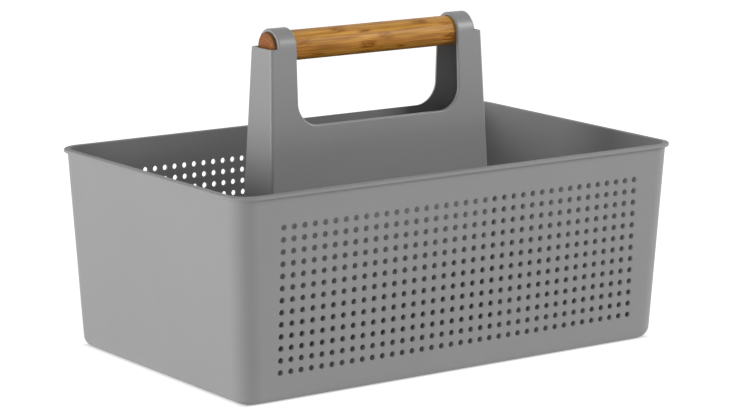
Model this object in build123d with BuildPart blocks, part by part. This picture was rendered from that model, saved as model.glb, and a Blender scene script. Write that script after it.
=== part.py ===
from build123d import *
import os
from math import cos, radians, sin, sqrt, tan

# Shower caddy: a deep moulded tub with perforated long walls, a hollow handle
# frame that stands in its middle, and a bamboo grip bar held in two loops.
# Millimetres, +Z up, X along the tub, origin at the centre of its footprint.

# Tub
rim_length = 350.5
rim_width = 225.5
rim_height = 134.3
lip_overhang = 2.4
lip_height = 2.3
lip_round = 1.0
tub_wall = 2.0
tub_draft = 2.9
tub_corner_radius = 14.0
tub_base_radius = 7.8
floor_thickness = 2.0
floor_lift = 1.2
standing_ring_width = 4.0

# Perforation of the two long walls
hole_width = 3.63
hole_pitch = 7.75
hole_columns = 37
hole_rows = 13
lowest_row_height = 19.5

# Drain holes in the floor of the two end bays
drain_diameter = 5.0
drain_pitch = 28.0
drain_columns = 2
drain_rows = 4

# Handle frame
axis_height = 206.2
hand_opening_length = 129.6
hand_opening_depth = 51.6
hand_opening_radius = 15.5
loop_width = 13.9
loop_round = 1.0
end_gap = 4.0
end_wall_drop = 0.1
frame_wall = 2.0
plate_draft = 2.82
end_draft = 1.98
frame_corner_radius = 2.0

# Grip bar and the parts of the frame that hold it
bar_diameter = 20.0
bar_clearance = 0.25
bar_proud = 2.0
bar_end_round = 1.0
bead_radius = 1.6
bead_drop = 5.0
bead_clearance = 0.15
bead_inset = 2.0
stop_clearance = 0.3
stop_width = 6.0
stop_height = 9.0
stop_drop = 4.0

# Screws from beneath, their seats in the floor and their bosses in the frame
screw_spacing_x = 158.0
screw_spacing_y = 23.0
screw_diameter = 3.4
screw_length = 16.0
screw_head_diameter = 7.0
screw_head_height = 2.4
screw_head_round = 1.0
screw_point = 0.8
screw_clearance = 0.3
pilot_clearance = 0.05
pilot_end_gap = 1.0
seat_diameter = 12.0
seat_height = 2.6
seat_web = 2.0
boss_diameter = 8.0
boss_height = 19.0
rib_thickness = 1.6

# Worked out from the sizes above
tub_slope = tan(radians(tub_draft))
floor_top = floor_lift + floor_thickness
base_length = rim_length - 2 * lip_overhang - 2 * rim_height * tub_slope
base_width = rim_width - 2 * lip_overhang - 2 * rim_height * tub_slope
wall_across = tub_wall / cos(radians(tub_draft))
bar_radius = bar_diameter / 2
loop_inside = bar_radius + bar_clearance
loop_outside = loop_inside + frame_wall
hand_opening_bottom = axis_height - hand_opening_depth
end_wall_top = axis_height - end_wall_drop
loop_start = hand_opening_length / 2
loop_end = loop_start + loop_width
frame_top_half = loop_end + end_gap + frame_wall
end_slope = tan(radians(end_draft))
bar_length = 2 * (loop_end + bar_proud)
seat_top = floor_top + seat_height
head_seat = seat_top - seat_web


def upright_edges(part):
    """Edges that run up the part, drafted corners included."""
    return part.edges().filter_by(lambda edge: abs(edge.tangent_at(0.5).Z) > 0.9)


def frame_profile(radius, bottom):
    """End view of the frame: two drafted plates that run tangent into the arch over the bar."""
    lean = radians(plate_draft)
    foot = (radius + (axis_height - bottom) * sin(lean)) / cos(lean)
    shoulder_y = radius * cos(lean)
    shoulder_z = axis_height + radius * sin(lean)
    Line((foot, bottom), (shoulder_y, shoulder_z))
    ThreePointArc((shoulder_y, shoulder_z), (0, axis_height + radius), (-shoulder_y, shoulder_z))
    Line((-shoulder_y, shoulder_z), (-foot, bottom))
    Line((-foot, bottom), (foot, bottom))


# ---------------------------------------------------------------- tub
# The space that things stand in: its drafted walls are the tub's inner faces.
with BuildPart() as tub_cavity:
    with BuildSketch(Plane.XY.offset(floor_top)):
        Rectangle(
            base_length + 2 * floor_top * tub_slope - 2 * wall_across,
            base_width + 2 * floor_top * tub_slope - 2 * wall_across,
        )
    extrude(amount=rim_height - floor_top, taper=-tub_draft)
    fillet(upright_edges(tub_cavity), tub_corner_radius - tub_wall)
    fillet(tub_cavity.faces().sort_by(Axis.Z)[0].edges(), tub_base_radius - tub_wall)

with BuildPart() as tub:
    # Outer form, drafted all round so that the moulding leaves its tool
    with BuildSketch():
        Rectangle(base_length, base_width)
    extrude(amount=rim_height, taper=-tub_draft)
    fillet(upright_edges(tub), tub_corner_radius)
    fillet(tub.faces().sort_by(Axis.Z)[0].edges(), tub_base_radius)
    # Lip round the rim
    with BuildSketch(Plane.XY.offset(rim_height - lip_height)):
        RectangleRounded(rim_length, rim_width, tub_corner_radius + lip_overhang)
    extrude(amount=lip_height)
    fillet(tub.faces().sort_by(Axis.Z)[-1].edges(), lip_round)
    add(tub_cavity.part, mode=Mode.SUBTRACT)
    # Recess beneath, which leaves a standing ring round the base
    with BuildSketch():
        RectangleRounded(
            base_length - 2 * (tub_base_radius + standing_ring_width),
            base_width - 2 * (tub_base_radius + standing_ring_width),
            tub_corner_radius,
        )
    extrude(amount=floor_lift, mode=Mode.SUBTRACT)
    # Raised seats for the screws, hollow beneath to take their heads
    with BuildSketch(Plane.XY.offset(floor_lift)):
        with GridLocations(screw_spacing_x, screw_spacing_y, 2, 2):
            Circle(seat_diameter / 2)
    extrude(amount=seat_top - floor_lift)
    with BuildSketch():
        with GridLocations(screw_spacing_x, screw_spacing_y, 2, 2):
            Circle(screw_head_diameter / 2 + screw_clearance)
    extrude(amount=head_seat, mode=Mode.SUBTRACT)
    with BuildSketch():
        with GridLocations(screw_spacing_x, screw_spacing_y, 2, 2):
            Circle(screw_diameter / 2 + screw_clearance)
    extrude(amount=seat_top, mode=Mode.SUBTRACT)
    # Drain holes, clear of the frame's foot
    bay_middle = (base_length / 2 + frame_top_half + axis_height * end_slope) / 2
    with BuildSketch():
        with GridLocations(2 * bay_middle, 0, 2, 1):
            with GridLocations(drain_pitch, drain_pitch, drain_columns, drain_rows):
                Circle(drain_diameter / 2)
    extrude(amount=floor_top, mode=Mode.SUBTRACT)
    # Perforation, square to each drafted wall
    rows_middle = lowest_row_height + (hole_rows - 1) / 2 * hole_pitch * cos(radians(tub_draft))
    wall_middle = base_width / 2 + rows_middle * tub_slope
    for side in (-1, 1):
        wall_plane = Plane(
            origin=(0, side * wall_middle, rows_middle),
            x_dir=(1, 0, 0),
            z_dir=(0, side * cos(radians(tub_draft)), -sin(radians(tub_draft))),
        )
        with Locations(wall_plane):
            with GridLocations(hole_pitch, hole_pitch, hole_columns, hole_rows):
                Box(hole_width, hole_width, 3 * tub_wall, mode=Mode.SUBTRACT)
tub.part.label = "tub"

# ---------------------------------------------------------------- handle frame
# The hollow of the frame: open at the foot and along the top of the hand opening.
with BuildPart() as frame_hollow:
    with BuildSketch(Plane.YZ):
        with BuildLine():
            frame_profile(loop_inside, floor_top)
        make_face()
    extrude(amount=frame_top_half + axis_height, both=True)
    end_wall_across = frame_wall / cos(radians(end_draft))
    hollow_top = frame_top_half - end_wall_across
    with BuildSketch(Plane.XZ):
        with BuildLine():
            Polyline(
                (hollow_top + (axis_height - floor_top) * end_slope, floor_top),
                (hollow_top - bar_diameter * end_slope, axis_height + bar_diameter),
                (-hollow_top + bar_diameter * end_slope, axis_height + bar_diameter),
                (-hollow_top - (axis_height - floor_top) * end_slope, floor_top),
                close=True,
            )
        make_face()
    extrude(amount=axis_height, both=True, mode=Mode.INTERSECT)

with BuildPart() as handle_frame:
    # End view, swept the whole length of the frame
    with BuildSketch(Plane.YZ):
        with BuildLine():
            frame_profile(loop_outside, floor_top)
        make_face()
    extrude(amount=frame_top_half + axis_height, both=True)
    # Side view: leaning ends, hand opening, and the gap beside each loop
    with BuildSketch(Plane.XZ) as side_view:
        with BuildLine():
            Polyline(
                (frame_top_half + (axis_height - floor_top) * end_slope, floor_top),
                (frame_top_half + (axis_height - end_wall_top) * end_slope, end_wall_top),
                (loop_end, end_wall_top),
                (loop_end, axis_height + bar_diameter),
                (loop_start, axis_height + bar_diameter),
                (loop_start, hand_opening_bottom),
                (0, hand_opening_bottom),
            )
            Line((0, hand_opening_bottom), (0, floor_top))
            Line((0, floor_top), (frame_top_half + (axis_height - floor_top) * end_slope, floor_top))
        make_face()
        fillet(side_view.vertices().filter_by_position(Axis.X, loop_start - 1, loop_start + 1)
               .sort_by(Axis.Y)[0], hand_opening_radius)
        mirror(about=Plane.YZ)
    extrude(amount=axis_height, both=True, mode=Mode.INTERSECT)
    corners = upright_edges(handle_frame).filter_by(lambda edge: abs(edge.center().X) > loop_end)
    fillet(corners.group_by(SortBy.LENGTH)[-1], frame_corner_radius)
    # Rounded edges: round the ends of each loop and down into the hand opening
    edges_at_hand = handle_frame.edges().filter_by(
        lambda edge: abs(edge.center().X) < loop_start + 0.1 and edge.center().Z > hand_opening_bottom - 1
    )
    loop_outer_ends = handle_frame.edges().filter_by(GeomType.CIRCLE).filter_by(
        lambda edge: abs(abs(edge.center().X) - loop_end) < 0.1 and edge.center().Z > axis_height
    )
    fillet(edges_at_hand + loop_outer_ends, loop_round)
    add(frame_hollow.part, mode=Mode.SUBTRACT)
    # Snap beads inside the loops, which the bar passes when it is pressed up into place
    bead_reach = bar_radius + bead_clearance + bead_radius
    bead_y = sqrt(bead_reach**2 - bead_drop**2)
    for side in (-1, 1):
        with BuildSketch(Plane.YZ.offset(side * (loop_start + loop_end) / 2)):
            with Locations((bead_y, axis_height - bead_drop), (-bead_y, axis_height - bead_drop)):
                Circle(bead_radius)
        extrude(amount=loop_width / 2 - bead_inset, both=True)
    # Stop ribs on the end walls, which keep the bar from sliding along
    stop_start = bar_length / 2 + stop_clearance
    with BuildSketch(Plane.XZ):
        with BuildLine():
            Polyline(
                (stop_start, axis_height - stop_drop),
                (stop_start, axis_height - stop_drop - stop_height),
                (hollow_top + frame_wall / 2, axis_height - stop_drop - 2 * stop_height),
                (hollow_top + frame_wall / 2, axis_height - stop_drop),
                close=True,
            )
        make_face()
        mirror(about=Plane.YZ)
    extrude(amount=stop_width / 2, both=True)
    # Screw bosses, each tied to its plate and end wall by a rib
    boss_middle = seat_top + boss_height / 2
    plate_middle = loop_outside + (axis_height - boss_middle) * tan(radians(plate_draft)) - frame_wall / 2
    end_middle = frame_top_half + (axis_height - boss_middle) * end_slope - frame_wall / 2
    with BuildSketch(Plane.XY.offset(seat_top)):
        with Locations((screw_spacing_x / 2, screw_spacing_y / 2)):
            Circle(boss_diameter / 2)
            Rectangle(end_middle - screw_spacing_x / 2, rib_thickness, align=(Align.MIN, Align.CENTER))
            Rectangle(rib_thickness, plate_middle - screw_spacing_y / 2, align=(Align.CENTER, Align.MIN))
        mirror(about=Plane.YZ)
        mirror(about=Plane.XZ)
    extrude(amount=boss_height)
    with BuildSketch(Plane.XY.offset(seat_top)):
        with GridLocations(screw_spacing_x, screw_spacing_y, 2, 2):
            Circle(screw_diameter / 2 + pilot_clearance)
    extrude(amount=screw_length - seat_web + pilot_end_gap, mode=Mode.SUBTRACT)
handle_frame.part.label = "handle_frame"

# ---------------------------------------------------------------- grip bar
# A turned bamboo dowel, free to turn in the two loops.
with BuildPart() as grip_bar:
    with BuildSketch(Plane.YZ.offset(-bar_length / 2)):
        with Locations((0, axis_height)):
            Circle(bar_radius)
    extrude(amount=bar_length)
    fillet(grip_bar.edges().filter_by(GeomType.CIRCLE), bar_end_round)
grip_bar.part.label = "grip_bar"

# ---------------------------------------------------------------- frame screws
# Four pan-head screws that hold the frame down on the floor of the tub.
with BuildPart() as frame_screws:
    with BuildSketch(Plane.XY.offset(head_seat - screw_head_height)):
        with GridLocations(screw_spacing_x, screw_spacing_y, 2, 2):
            Circle(screw_head_diameter / 2)
    extrude(amount=screw_head_height)
    fillet(frame_screws.edges().group_by(Axis.Z)[0], screw_head_round)
    with BuildSketch(Plane.XY.offset(head_seat)):
        with GridLocations(screw_spacing_x, screw_spacing_y, 2, 2):
            Circle(screw_diameter / 2)
    extrude(amount=screw_length)
    chamfer(frame_screws.edges().group_by(Axis.Z)[-1], screw_point)
frame_screws.part.label = "frame_screws"

# ---------------------------------------------------------------- one file for each part
os.makedirs("parts", exist_ok=True)
export_step(tub.part, "parts/tub.step", write_pcurves=False)
export_step(handle_frame.part, "parts/handle_frame.step")
export_step(grip_bar.part, "parts/grip_bar.step")
export_step(frame_screws.part, "parts/frame_screws.step")
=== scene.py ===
import math

import bmesh
import bpy
from mathutils import Matrix, Vector


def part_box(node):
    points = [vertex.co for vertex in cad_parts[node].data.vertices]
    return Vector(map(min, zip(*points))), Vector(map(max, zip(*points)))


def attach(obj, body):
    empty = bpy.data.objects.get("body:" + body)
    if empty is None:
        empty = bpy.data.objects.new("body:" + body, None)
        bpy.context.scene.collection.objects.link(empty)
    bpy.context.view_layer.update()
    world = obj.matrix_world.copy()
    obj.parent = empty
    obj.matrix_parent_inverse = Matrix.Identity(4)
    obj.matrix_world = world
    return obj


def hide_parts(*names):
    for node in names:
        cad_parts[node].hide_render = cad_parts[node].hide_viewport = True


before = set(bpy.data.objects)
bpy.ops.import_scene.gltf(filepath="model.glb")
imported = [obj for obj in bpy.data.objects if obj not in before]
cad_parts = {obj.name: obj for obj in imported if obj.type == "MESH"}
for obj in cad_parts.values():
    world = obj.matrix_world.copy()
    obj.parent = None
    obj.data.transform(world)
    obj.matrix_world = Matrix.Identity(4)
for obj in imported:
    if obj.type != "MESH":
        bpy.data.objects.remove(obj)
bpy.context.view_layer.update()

# ---------------------------------------------------------------------------
# Tub
# One thin-walled moulding in matte grey polypropylene. Its walls lean out so that it leaves the
# tool, a lip stiffens the rim, round holes drain both long walls, and a low ring lifts the floor.
# ---------------------------------------------------------------------------
tub_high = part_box("tub")[1]
wall = 0.002
draft = math.radians(2.9)
lean = math.tan(draft)
lip_overhang, lip_height, lip_round, lip_bevel = 0.0024, 0.0023, 0.001, 0.0004
corner_radius, base_radius = 0.014, 0.0078
floor_top, floor_lift, ring_width = 0.0032, 0.0012, 0.004
rim_height = tub_high.z
foot_x = tub_high.x - lip_overhang - rim_height * lean
foot_y = tub_high.y - lip_overhang - rim_height * lean

# The inner edge of the rim is softened; over that rounding the wall leans by edge_lean
edge_round, edge_lean = 0.0005, 0.00002

# Plain rings of the wall: one between the holes and the lip, and one close under the lip
plain_band, under_lip_band = 0.122, 0.0006

# Each hole is 3.6 mm wide in its throat, rounded at the outer face and eased at the inner one
hole_radius, hole_pitch, hole_edge, hole_easing = 0.00178, 0.00775, 0.0007, 0.0002
hole_bend = 0.3 * hole_edge
hole_columns, hole_rows, lowest_row = 37, 13, 0.0195
row_rise = hole_pitch * math.cos(draft)
field_half = hole_columns * hole_pitch / 2
field_bottom = lowest_row - row_rise / 2
field_margin = 0.001

# How finely the mesh is divided: each hole's cell, the roundings, the plan outline and small circles
splits = 4
foot_steps, lip_steps, edge_steps = 8, 5, 3
corner_steps, end_wall_steps, round_sides = 10, 4, 24
field_columns, field_rows = hole_columns * splits, hole_rows * splits


def tub_outline(grow, height, radius=None):
    """The tub's plan outline at one height, moved out by grow from its foot: a closed ring of points."""
    if radius is None:
        radius = corner_radius + grow - height * lean
    half_x, half_y = foot_x + grow, foot_y + grow
    inner_x, inner_y = half_x - radius, half_y - radius
    reach = min(field_half, inner_x - field_margin)
    columns = [reach * (2 * i / field_columns - 1) for i in range(field_columns + 1)]
    across = [-inner_x] + columns + [inner_x]
    along = [inner_y * (2 * i / end_wall_steps - 1) for i in range(end_wall_steps + 1)]
    turn = [math.radians(90 * i / corner_steps) for i in range(1, corner_steps)]
    ring = [(x, -half_y) for x in across]
    ring += [(inner_x + radius * math.sin(a), -inner_y - radius * math.cos(a)) for a in turn]
    ring += [(half_x, y) for y in along]
    ring += [(inner_x + radius * math.cos(a), inner_y + radius * math.sin(a)) for a in turn]
    ring += [(-x, half_y) for x in across]
    ring += [(-inner_x - radius * math.sin(a), inner_y + radius * math.cos(a)) for a in turn]
    ring += [(-half_x, -y) for y in along]
    ring += [(-inner_x - radius * math.cos(a), -inner_y - radius * math.sin(a)) for a in turn]
    return [Vector((x, y, height)) for x, y in ring]


def foot_round(radius, floor, wall_offset):
    """Profile of a rounded foot, from the flat floor up to where it meets the leaning wall."""
    end = math.pi / 2 - draft
    top = floor + radius * (1 - math.cos(end))
    middle = top * lean - wall_offset - radius * math.sin(end)
    steps = [end * i / foot_steps for i in range(foot_steps + 1)]
    return [(middle + radius * math.sin(a), floor + radius * (1 - math.cos(a))) for a in steps]


# Profile of the outside, from the standing ring up over the lip: how far out, and how high
outside = foot_round(base_radius, 0.0, 0.0)
first_field_row = len(outside)
for i in range(field_rows + 1):
    row_height = field_bottom + row_rise * i / splits
    outside.append((row_height * lean, row_height))
last_field_row = len(outside) - 1
under_lip = rim_height - lip_height
lip_out = rim_height * lean + lip_overhang
outside += [(z * lean, z) for z in (plain_band, under_lip - under_lip_band, under_lip)]
outside += [(lip_out - lip_bevel, under_lip), (lip_out, under_lip + lip_bevel)]
outside.append((lip_out, rim_height - lip_round))
for i in range(1, lip_steps + 1):
    a = math.radians(90 * i / lip_steps)
    outside.append((lip_out - lip_round * (1 - math.cos(a)), rim_height - lip_round * (1 - math.sin(a))))

# Profile of the inside, from the floor up to the softened inner edge of the rim
wall_across = wall / math.cos(draft)
wall_rise = wall * math.sin(draft)
rim_in = rim_height * lean - wall_across
inside = foot_round(base_radius - wall, floor_top, wall_across)
inner_heights = [height + wall_rise for _, height in outside[first_field_row:last_field_row + 1]]
inner_heights += [plain_band, rim_height - 2 * edge_round]
inside += [(z * lean - wall_across, z) for z in inner_heights]
for i in range(edge_steps + 1):
    a = math.radians(90 * i / edge_steps)
    edge_out = rim_in + edge_round * (1 - math.cos(a)) - edge_lean
    inside.append((edge_out, rim_height - edge_round * (1 - math.sin(a))))

tub_mesh = bmesh.new()


def add_ring(points):
    """Puts a closed ring of points in the tub's mesh."""
    return [tub_mesh.verts.new(p) for p in points]


def join_rings(low, high, skip=()):
    """Joins two rings of as many points with quads, leaving out the stretches in skip."""
    for i in range(len(low)):
        if i not in skip:
            j = (i + 1) % len(low)
            tub_mesh.faces.new((low[i], low[j], high[j], high[i]))


# The skins inside and outside are left open over the two fields of holes, front and back
outer_rings = [add_ring(tub_outline(*p)) for p in outside]
inner_rings = [add_ring(tub_outline(*p)) for p in inside]
front_start = 1
back_start = len(outer_rings[0]) // 2 + 1
field_cells = set(range(front_start, front_start + field_columns))
field_cells |= set(range(back_start, back_start + field_columns))
for i in range(len(outer_rings) - 1):
    in_field = first_field_row <= i < last_field_row
    join_rings(outer_rings[i], outer_rings[i + 1], field_cells if in_field else ())
for i in range(len(inner_rings) - 1):
    in_field = first_field_row <= i < last_field_row
    join_rings(inner_rings[i + 1], inner_rings[i], field_cells if in_field else ())
join_rings(outer_rings[-1], inner_rings[-1])

# Each cell of a field is a square of wall round one hole; its circles start at the lower left corner
hole_turn = [math.radians(225 + 360 * i / (4 * splits)) for i in range(4 * splits)]


def hole_cell(rings, start, row, column):
    """The points round the edge of one cell, anticlockwise from its lower left corner."""
    low, left = first_field_row + row * splits, start + column * splits
    high, right = low + splits, left + splits
    steps = range(splits)
    edge = [rings[low][left + i] for i in steps]
    edge += [rings[low + i][right] for i in steps]
    edge += [rings[high][right - i] for i in steps]
    edge += [rings[high - i][left] for i in steps]
    return edge


def circle_round(edge, radius, sink):
    """A circle in the middle of a cell, sunk into the wall along its normal."""
    middle = sum((v.co for v in edge), Vector()) / len(edge)
    across = (edge[splits].co - edge[0].co).normalized()
    up = (edge[-splits].co - edge[0].co).normalized()
    centre = middle - across.cross(up) * sink
    return add_ring([centre + radius * (math.cos(a) * across + math.sin(a) * up) for a in hole_turn])


for start in (front_start, back_start):
    for row in range(hole_rows):
        for column in range(hole_columns):
            outer_edge = hole_cell(outer_rings, start, row, column)
            inner_edge = hole_cell(inner_rings, start, row, column)
            mouth = circle_round(outer_edge, hole_radius + hole_edge, 0)
            bend = circle_round(outer_edge, hole_radius + hole_bend, hole_bend)
            throat = circle_round(outer_edge, hole_radius, hole_edge)
            inner_mouth = circle_round(inner_edge, hole_radius + hole_easing, 0)
            join_rings(outer_edge, mouth)
            join_rings(mouth, bend)
            join_rings(bend, throat)
            join_rings(throat, inner_mouth)
            join_rings(inner_mouth, inner_edge)

# Standing ring, and inside it the raised floor, pierced by drain holes and the screw seats
ring_inset = base_radius + ring_width
ring_foot = add_ring(tub_outline(-ring_inset, 0.0, corner_radius))
ring_top = add_ring(tub_outline(-ring_inset, floor_lift, corner_radius))
join_rings(ring_foot, outer_rings[0])
join_rings(ring_top, ring_foot)


def floor_circle(x, y, radius, height):
    """A ring of points round a hole or seat in the floor."""
    turn = [2 * math.pi * i / round_sides for i in range(round_sides)]
    return add_ring([Vector((x + radius * math.cos(a), y + radius * math.sin(a), height)) for a in turn])


drain_radius, drain_pitch, drain_columns, drain_rows = 0.0025, 0.028, 2, 4
bay_middle = (foot_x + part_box("handle_frame")[1].x) / 2
top_rings, under_rings = [], []
for side in (-1, 1):
    for i in range(drain_columns):
        for j in range(drain_rows):
            x = side * bay_middle + (i - (drain_columns - 1) / 2) * drain_pitch
            y = (j - (drain_rows - 1) / 2) * drain_pitch
            top_rings.append(floor_circle(x, y, drain_radius, floor_top))
            under_rings.append(floor_circle(x, y, drain_radius, floor_lift))
            join_rings(under_rings[-1], top_rings[-1])

# A screw seat is a low round boss with a bore, and a pocket beneath that hides the screw's head
screw_x, screw_y = 0.079, 0.0115
seat_radius, seat_top, seat_bore = 0.006, 0.0058, 0.002
pocket_radius, pocket_top = 0.0038, 0.0038
seat_profile = [(seat_radius, floor_top), (seat_radius, seat_top), (seat_bore, seat_top),
                (seat_bore, pocket_top), (pocket_radius, pocket_top), (pocket_radius, floor_lift)]
for x in (-screw_x, screw_x):
    for y in (-screw_y, screw_y):
        seat = [floor_circle(x, y, radius, height) for radius, height in seat_profile]
        for upper, lower in zip(seat, seat[1:]):
            join_rings(upper, lower)
        top_rings.append(seat[0])
        under_rings.append(seat[-1])


def fill_floor(rim, holes):
    """Fills the flat floor between its rim and its holes."""
    tub_mesh.edges.ensure_lookup_table()
    edges = []
    for ring in [rim] + holes:
        for i in range(len(ring)):
            pair = (ring[i], ring[(i + 1) % len(ring)])
            edges.append(tub_mesh.edges.get(pair) or tub_mesh.edges.new(pair))
    bmesh.ops.triangle_fill(tub_mesh, use_beauty=True, edges=edges)


fill_floor(inner_rings[0], top_rings)
fill_floor(ring_top, under_rings)

# The points inside the cells only marked out where the circles go
left_over = [v for v in tub_mesh.verts if not v.link_faces]
bmesh.ops.delete(tub_mesh, geom=left_over, context="VERTS")
bmesh.ops.recalc_face_normals(tub_mesh, faces=tub_mesh.faces)


def finish_mesh(mesh, name, sharp_angle):
    """Makes an object from a mesh, smooth but for edges sharper than the given angle."""
    data = bpy.data.meshes.new(name)
    mesh.to_mesh(data)
    mesh.free()
    data.shade_smooth()
    data.set_sharp_from_angle(angle=math.radians(sharp_angle))
    piece = bpy.data.objects.new(name, data)
    bpy.context.scene.collection.objects.link(piece)
    return piece


tub_shell = finish_mesh(tub_mesh, "tub_shell", 40)
level = tub_shell.modifiers.new("flat faces stay flat", "WEIGHTED_NORMAL")
level.keep_sharp = True


def feed(socket, value):
    """Gives a socket its value: a link where it comes from another node, else the plain value."""
    if isinstance(value, bpy.types.NodeSocket):
        socket.id_data.links.new(value, socket)
    else:
        socket.default_value = value


def node_maker(tree):
    """A short way to add a node with its settings and its inputs, in order or by name."""

    def add(kind, settings=(), *values, **inputs):
        node = tree.nodes.new(kind)
        for name, value in dict(settings).items():
            setattr(node, name, value)
        for socket, value in zip(node.inputs, values):
            feed(socket, value)
        for name, value in inputs.items():
            feed(node.inputs[name.replace("_", " ")], value)
        return node

    return add


def grey_plastic(name, colour, smoothest, specular):
    """Matte polypropylene: an even grey with a faint cloudiness and the fine grain of an eroded tool."""
    material = bpy.data.materials.new(name)
    material.use_nodes = True
    add = node_maker(material.node_tree)
    shader = material.node_tree.nodes["Principled BSDF"]
    place = add("ShaderNodeTexCoord").outputs["Object"]
    cloud = add("ShaderNodeTexNoise", Vector=place, Scale=18.0, Detail=3.0)
    grain = add("ShaderNodeTexNoise", Vector=place, Scale=2600.0, Detail=2.0)
    tint = add("ShaderNodeMapRange", Value=cloud.outputs["Fac"], To_Min=0.965, To_Max=1.035)
    shade = add("ShaderNodeVectorMath", {"operation": "SCALE"}, colour, Scale=tint.outputs["Result"])
    rough = add("ShaderNodeMapRange", Value=grain.outputs["Fac"], To_Min=smoothest, To_Max=smoothest + 0.08)
    bump = add("ShaderNodeBump", Strength=0.12, Distance=0.0001, Height=grain.outputs["Fac"])
    feed(shader.inputs["Base Color"], shade.outputs["Vector"])
    feed(shader.inputs["Roughness"], rough.outputs["Result"])
    feed(shader.inputs["Normal"], bump.outputs["Normal"])
    shader.inputs["Specular IOR Level"].default_value = specular
    return material


tub_grey = (0.34, 0.34, 0.343)
tub_shell.data.materials.append(grey_plastic("tub_plastic", tub_grey, 0.42, 0.12))
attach(tub_shell, "caddy")
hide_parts("tub")

# ---------------------------------------------------------------------------
# Handle frame
# A hollow moulding in the same grey polypropylene, open underneath, that parts the tub in two. Its
# two loops hold the grip bar, and it is screwed down through the tub's floor.
# ---------------------------------------------------------------------------
frame_grey = (0.304, 0.304, 0.307)
handle_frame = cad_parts["handle_frame"]
handle_frame.material_slots[0].material = grey_plastic("frame_plastic", frame_grey, 0.3, 0.5)

# ---------------------------------------------------------------------------
# Frame screws
# Four zinc-plated steel screws with round heads and cross recesses. Each comes up through a seat in
# the tub's floor and cuts its own thread in a boss inside the frame.
# ---------------------------------------------------------------------------
screws_low, screws_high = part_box("frame_screws")
face_radius, head_radius, head_height, head_round, head_steps = 0.0012, 0.0035, 0.0024, 0.001, 6
crest_radius, root_radius, thread_pitch, flank_share = 0.0017, 0.00125, 0.0013, 0.34
point_height, point_share, rings_per_turn = 0.0008, 0.35, 8
arm_length, arm_half, recess_depth, recess_taper = 0.0021, 0.00048, 0.0016, 0.55
punch_clearance = 0.0004
neck_height = screws_low.z + head_height
screw_mesh = bmesh.new()
punch_mesh = bmesh.new()


def lathe_screw(x, y):
    """One screw, head down: a head turned on a lathe, then a rolled thread up to the point."""
    profile = [(face_radius, screws_low.z, 0)]
    for step in range(head_steps + 1):
        a = math.radians(90 * step / head_steps)
        radius = head_radius - head_round * (1 - math.sin(a))
        profile.append((radius, screws_low.z + head_round * (1 - math.cos(a)), 0))
    profile += [(head_radius, neck_height, 0), (root_radius, neck_height, 0)]
    shank = screws_high.z - point_height - neck_height
    steps = round(shank / thread_pitch * rings_per_turn)
    profile += [(root_radius, neck_height + shank * i / steps, 1) for i in range(1, steps + 1)]
    profile.append((root_radius * point_share, screws_high.z, 0))
    rings = []
    for radius, height, threaded in profile:
        ring = []
        for i in range(round_sides):
            from_crest = abs((height / thread_pitch - i / round_sides) % 1.0 - 0.5)
            flank = max(0.0, 1 - from_crest / flank_share) * threaded
            r = radius + (crest_radius - root_radius) * flank
            a = 2 * math.pi * i / round_sides
            ring.append(screw_mesh.verts.new((x + r * math.cos(a), y + r * math.sin(a), height)))
        rings.append(ring)
    for low, high in zip(rings, rings[1:]):
        for i in range(round_sides):
            j = (i + 1) % round_sides
            screw_mesh.faces.new((low[i], low[j], high[j], high[i]))
    screw_mesh.faces.new(rings[0][::-1])
    screw_mesh.faces.new(rings[-1])


def cross_punch(x, y):
    """The tapered punch that forms the cross recess in one head."""
    arm = [(arm_length, -arm_half), (arm_length, arm_half), (arm_half, arm_half)]
    cross = arm + [(-b, a) for a, b in arm] + [(-a, -b) for a, b in arm] + [(b, -a) for a, b in arm]

    def level_ring(share, height):
        return [punch_mesh.verts.new((x + share * a, y + share * b, height)) for a, b in cross]

    wide = level_ring(1.0, screws_low.z - punch_clearance)
    narrow = level_ring(recess_taper, screws_low.z + recess_depth)
    for i in range(len(cross)):
        j = (i + 1) % len(cross)
        punch_mesh.faces.new((wide[i], wide[j], narrow[j], narrow[i]))
    punch_mesh.faces.new(wide[::-1])
    punch_mesh.faces.new(narrow)


for x in (-screw_x, screw_x):
    for y in (-screw_y, screw_y):
        lathe_screw(x, y)
        cross_punch(x, y)
screws = finish_mesh(screw_mesh, "screws", 35)
punches = finish_mesh(punch_mesh, "cross_punches", 35)
press = screws.modifiers.new("cross recesses", "BOOLEAN")
press.solver = "EXACT"
press.object = punches
pressed = bpy.data.meshes.new_from_object(screws.evaluated_get(bpy.context.evaluated_depsgraph_get()))
screws.modifiers.clear()
screws.data = pressed
pressed.set_sharp_from_angle(angle=math.radians(35))
bpy.data.objects.remove(punches)

zinc_grey = (0.62, 0.63, 0.65, 1)
zinc = bpy.data.materials.new("zinc_plate")
zinc.use_nodes = True
add = node_maker(zinc.node_tree)
shader = zinc.node_tree.nodes["Principled BSDF"]
place = add("ShaderNodeTexCoord").outputs["Object"]
bloom = add("ShaderNodeTexNoise", Vector=place, Scale=900.0, Detail=3.0)
polish = add("ShaderNodeMapRange", Value=bloom.outputs["Fac"], To_Min=0.22, To_Max=0.38)
feed(shader.inputs["Roughness"], polish.outputs["Result"])
shader.inputs["Base Color"].default_value = zinc_grey
shader.inputs["Metallic"].default_value = 1.0
screws.data.materials.append(zinc)
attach(screws, "caddy")
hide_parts("frame_screws")

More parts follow.
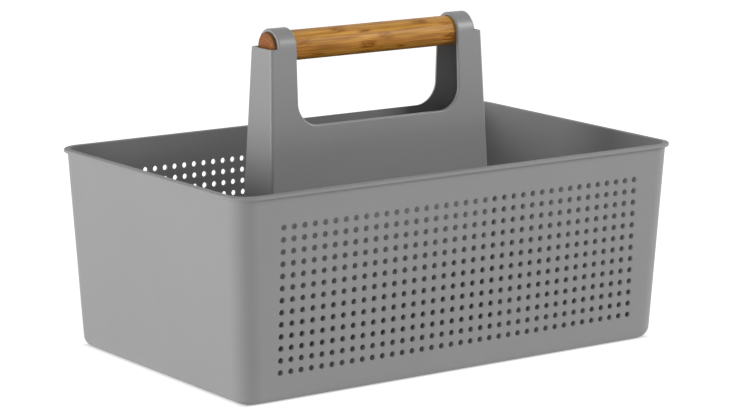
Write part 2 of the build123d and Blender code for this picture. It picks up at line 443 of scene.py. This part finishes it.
# ---------------------------------------------------------------------------
# Grip bar
# A turned dowel of pressed bamboo strips, rounded at both ends and wiped with oil. It snaps down
# past a bead in each loop, stands a little proud of both, and can turn there.
# ---------------------------------------------------------------------------
tan_light, tan_olive, tan_dark = (0.98, 0.51, 0.115, 1), (0.76, 0.375, 0.048, 1), (0.36, 0.14, 0.015, 1)
joint_amber, joint_brown = (0.55, 0.215, 0.02, 1), (0.25, 0.075, 0.006, 1)
end_light, end_dark = (0.37, 0.115, 0.01, 1), (0.19, 0.055, 0.004, 1)
end_shade_brown, strip_tint_and_shade = (0.075, 0.035, 0.009, 1), (0.72, 0.62, 0.52, 1)

# The strips' size and the places of the first ones; each strip draws its own tint and joints, and the tint
# steps are set so that the strips low on the bar come out darker, partly painted shade
strip_width, strip_depth, first_strip, first_layer = 0.0047, 0.0052, 0.0118, 0.0104
layer_step, tint_and_shade_step, tint_and_shade_start, depth_step = 7.31, 1.846, 0.51, 3.7
joint_spacing, joint_length, joint_core = 0.066, 0.0085, 0.0008
joint_scatter, joint_waver = 3.7 * joint_spacing, 0.006
faintest_joint, patch_strength, fibre_strength = 0.55, 0.85, 0.7

# Painted shade at the bar's ends, where they sit in the loops, over a darker rounded edge of the wood:
# round the rim of each sawn end, and along the first few millimetres of its side
face_shade_radii, side_shade_radii, end_shade_span = (0.0084, 0.0097), (0.0093, 0.0099), (0.0003, 0.0045)
end_shade_strength, dot_share = 0.85, 0.25


def oiled_bamboo(name, axis_height, half_length):
    """Bamboo strips pressed together: fine fibre along the bar, and a brown joint here and there."""
    material = bpy.data.materials.new(name)
    material.use_nodes = True
    add = node_maker(material.node_tree)
    shader = material.node_tree.nodes["Principled BSDF"]
    spot = add("ShaderNodeTexCoord").outputs
    place = add("ShaderNodeMapping", Vector=spot["Object"], Location=(0, 0, -axis_height)).outputs["Vector"]
    part = add("ShaderNodeSeparateXYZ", Vector=place)
    along, across, up = part.outputs["X"], part.outputs["Y"], part.outputs["Z"]

    # Short names for the nodes that the wood is drawn with; chance gives each seed its own number
    def number(operation, *values):
        return add("ShaderNodeMath", {"operation": operation}, *values).outputs["Value"]

    def noise(scale, stretch, detail):
        shrunk = add("ShaderNodeMapping", Vector=place, Scale=stretch).outputs["Vector"]
        return add("ShaderNodeTexNoise", Vector=shrunk, Scale=scale, Detail=detail).outputs["Fac"]

    def chance(seed):
        return add("ShaderNodeTexWhiteNoise", {"noise_dimensions": "1D"}, W=seed).outputs["Value"]

    def ramp(value, low, high, start=0.0, end=1.0, kind="LINEAR"):
        return add("ShaderNodeMapRange", {"interpolation_type": kind}, Value=value, From_Min=low,
                   From_Max=high, To_Min=start, To_Max=end).outputs["Result"]

    def blend(share, first, second, kind="MIX"):
        node = add("ShaderNodeMix", {"data_type": "RGBA", "blend_type": kind}, Factor=share)
        feed(node.inputs[6], first)
        feed(node.inputs[7], second)
        return node.outputs[2]

    # The strips stand on edge across the bar, each with its own joints
    strip = number("FLOOR", number("DIVIDE", number("ADD", across, first_strip), strip_width))
    layer = number("FLOOR", number("DIVIDE", number("ADD", up, first_layer), strip_depth))
    which = number("MULTIPLY_ADD", layer, layer_step, strip)
    waver = number("MULTIPLY", noise(60.0, (1.0, 3.0, 3.0), 2.0), joint_waver)
    shifted = number("ADD", number("MULTIPLY_ADD", chance(which), joint_scatter, along), waver)
    in_spacing = number("WRAP", shifted, joint_spacing, 0.0)
    from_joint = number("ABSOLUTE", number("SUBTRACT", in_spacing, joint_spacing / 2))
    joint = ramp(from_joint, joint_core, joint_length, 1.0, 0.0, "SMOOTHSTEP")
    blotch = ramp(noise(520.0, (0.3, 1.0, 1.0), 3.0), 0.38, 0.56)
    strength = ramp(chance(number("ADD", which, depth_step)), 0.0, 1.0, faintest_joint, 1.0)
    patch = number("MULTIPLY", joint, number("MULTIPLY", strength, patch_strength))
    mark = number("MULTIPLY", number("MULTIPLY", joint, blotch), strength)

    # The side of the bar: two tans in broad streaks, dark fibre, a tint for each strip that comes out
    # darker on the lower strips as partly painted shade, and the joints
    fibre = ramp(noise(900.0, (0.035, 1.0, 1.0), 4.0), 0.34, 0.66)
    broad = ramp(noise(150.0, (0.12, 1.0, 1.0), 2.0), 0.38, 0.6)
    # Strip tints differ from strip to strip, with their steps set so that the strips low on the bar come
    # out darker: partly painted shade
    tint = number("FRACT", number("MULTIPLY_ADD", which, tint_and_shade_step, tint_and_shade_start))
    base = blend(broad, tan_light, tan_olive)
    streaked = blend(number("MULTIPLY", fibre, fibre_strength), base, tan_dark)
    toned = blend(number("SUBTRACT", 1.0, tint), streaked, strip_tint_and_shade, "MULTIPLY")
    jointed = blend(mark, blend(patch, toned, joint_amber), joint_brown)

    # The sawn ends show the cut fibres as dark dots in a redder brown, with painted shade round the edge
    dot = ramp(add("ShaderNodeTexVoronoi", Vector=place, Scale=1100.0).outputs["Distance"], 0.15, 0.45)
    smear = ramp(noise(260.0, (1.0, 1.0, 2.5), 3.0), 0.38, 0.62)
    cut = number("MULTIPLY_ADD", dot, dot_share, number("MULTIPLY", smear, 1.0 - dot_share))
    radius = number("SQRT", number("ADD", number("POWER", across, 2.0), number("POWER", up, 2.0)))
    # Painted shade round the edge of each sawn end
    rim = ramp(radius, *face_shade_radii, 0.0, end_shade_strength)
    face_edge_shaded = blend(rim, blend(cut, end_dark, end_light), end_shade_brown)
    facing = add("ShaderNodeSeparateXYZ", Vector=spot["Normal"]).outputs["X"]
    wood = blend(ramp(number("ABSOLUTE", facing), 0.35, 0.75), jointed, face_edge_shaded)

    # Both ends get painted shade along the first few millimetres of their side, where they sit in the
    # loops, over a darker edge of the wood
    from_end = number("SUBTRACT", half_length, number("ABSOLUTE", along))
    shaded_ends = ramp(from_end, *end_shade_span, end_shade_strength, 0.0, "SMOOTHSTEP")
    wood_with_shaded_ends = blend(number("MULTIPLY", shaded_ends, ramp(radius, *side_shade_radii)), wood, end_shade_brown)

    relief = add("ShaderNodeBump", Strength=0.25, Distance=0.00008, Height=fibre)
    feed(shader.inputs["Base Color"], wood_with_shaded_ends)
    feed(shader.inputs["Roughness"], ramp(fibre, 0.0, 1.0, 0.36, 0.5))
    feed(shader.inputs["Normal"], relief.outputs["Normal"])
    shader.inputs["Specular IOR Level"].default_value = 0.25
    return material


grip_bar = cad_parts["grip_bar"]
bar_low, bar_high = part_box("grip_bar")
grip_bar.material_slots[0].material = oiled_bamboo("bamboo", (bar_low.z + bar_high.z) / 2, bar_high.x)

# ---------------------------------------------------------------------------
# Floor, lamps and camera
# A white studio: a plain floor and a white world behind it, two soft boxes low on the left and a
# larger one high on the right, and a long lens from the front left corner, a little above the rim.
# ---------------------------------------------------------------------------
scene = bpy.context.scene
floor_half, floor_grey, floor_glow, floor_fill = 6.0, (0.8, 0.8, 0.8, 1), 0.82, 0.26
world_glow, world_fill, foot_shade = 1.0, 0.19, 0.01
white = (1, 1, 1, 1)


def background_strength(add, fill, glow):
    """The background's strength: glow where it is seen, straight or in a gloss, and fill as light."""
    path = add("ShaderNodeLightPath").outputs
    larger = {"operation": "MAXIMUM"}
    in_gloss = path["Is Glossy Ray"]
    through = path["Is Transmission Ray"]
    indirect = add("ShaderNodeMath", larger, in_gloss, through).outputs["Value"]
    seen = add("ShaderNodeMath", larger, path["Is Camera Ray"], indirect).outputs["Value"]
    return add("ShaderNodeMapRange", Value=seen, To_Min=fill, To_Max=glow).outputs["Result"]


corners = [(-floor_half, -floor_half, 0), (floor_half, -floor_half, 0),
           (floor_half, floor_half, 0), (-floor_half, floor_half, 0)]
floor_data = bpy.data.meshes.new("studio_floor")
floor_data.from_pydata(corners, [], [(0, 1, 2, 3)])
studio_floor = bpy.data.objects.new("studio_floor", floor_data)
scene.collection.objects.link(studio_floor)

# The floor glows except under the tub's foot, where a dark seam stays, and is clear from beneath
floor_paint = bpy.data.materials.new("floor_paint")
floor_paint.use_nodes = True
floor_nodes = floor_paint.node_tree.nodes
floor_nodes.remove(floor_nodes["Principled BSDF"])
add = node_maker(floor_paint.node_tree)
place = add("ShaderNodeTexCoord").outputs["Object"]
from_middle = add("ShaderNodeVectorMath", {"operation": "ABSOLUTE"}, place).outputs["Vector"]
beyond = add("ShaderNodeVectorMath", {"operation": "SUBTRACT"}, from_middle, (foot_x, foot_y, 0))
sides = add("ShaderNodeSeparateXYZ", Vector=beyond.outputs["Vector"]).outputs
farther = add("ShaderNodeMath", {"operation": "MAXIMUM"}, sides["X"], sides["Y"])
open_floor = add("ShaderNodeMapRange", Value=farther.outputs["Value"], From_Min=-foot_shade, From_Max=0.0)
strength = add("ShaderNodeMath", {"operation": "MULTIPLY"},
               background_strength(add, floor_fill, floor_glow), open_floor.outputs["Result"])
plain = add("ShaderNodeBsdfDiffuse", Color=floor_grey).outputs[0]
glow = add("ShaderNodeEmission", Color=white, Strength=strength.outputs["Value"]).outputs[0]
lit = add("ShaderNodeAddShader", (), plain, glow).outputs[0]
clear = add("ShaderNodeBsdfTransparent").outputs[0]
beneath = add("ShaderNodeNewGeometry").outputs["Backfacing"]
one_sided = add("ShaderNodeMixShader", (), beneath, lit, clear)
feed(floor_nodes["Material Output"].inputs["Surface"], one_sided.outputs[0])
floor_data.materials.append(floor_paint)

world = bpy.data.worlds.new("studio")
world.use_nodes = True
background = world.node_tree.nodes["Background"]
background.inputs["Color"].default_value = white
add = node_maker(world.node_tree)
feed(background.inputs["Strength"], background_strength(add, world_fill, world_glow))
scene.world = world


def soft_lamp(name, place, target, size, power):
    """A square soft box that faces a point on the object."""
    data = bpy.data.lights.new(name, "AREA")
    data.shape = "SQUARE"
    data.size = size
    data.energy = power
    lamp = bpy.data.objects.new(name, data)
    lamp.location = place
    lamp.rotation_euler = (Vector(target) - Vector(place)).to_track_quat("-Z", "Y").to_euler()
    lamp.visible_camera = False
    scene.collection.objects.link(lamp)


soft_lamp("left_front_box", (-2.2, -0.4, 0.35), (0, 0, 0.1), 1.2, 12)
soft_lamp("left_back_box", (-2.1, 0.8, 0.25), (0, 0, 0.1), 1.2, 31)
soft_lamp("front_right_box", (2.75, -2.3, 1.65), (0, 0, 0.12), 1.6, 82)

# The camera's place, and the three directions it is turned to
camera_place = (-1.15170, -1.64429, 0.48814)
camera_right = Vector((0.81958, -0.57297, 0.0001))
camera_up = Vector((0.11058, 0.15835, 0.98117))
camera_back = Vector((-0.56219, -0.80414, 0.19313))
camera_turn = Matrix((camera_right, camera_up, camera_back)).transposed().to_4x4()
camera_data = bpy.data.cameras.new("camera")
camera_data.sensor_width = 36.0
camera_data.lens = 150.58
camera = bpy.data.objects.new("camera", camera_data)
camera.matrix_world = Matrix.Translation(camera_place) @ camera_turn
scene.collection.objects.link(camera)
scene.camera = camera
scene.view_settings.view_transform = "Standard"
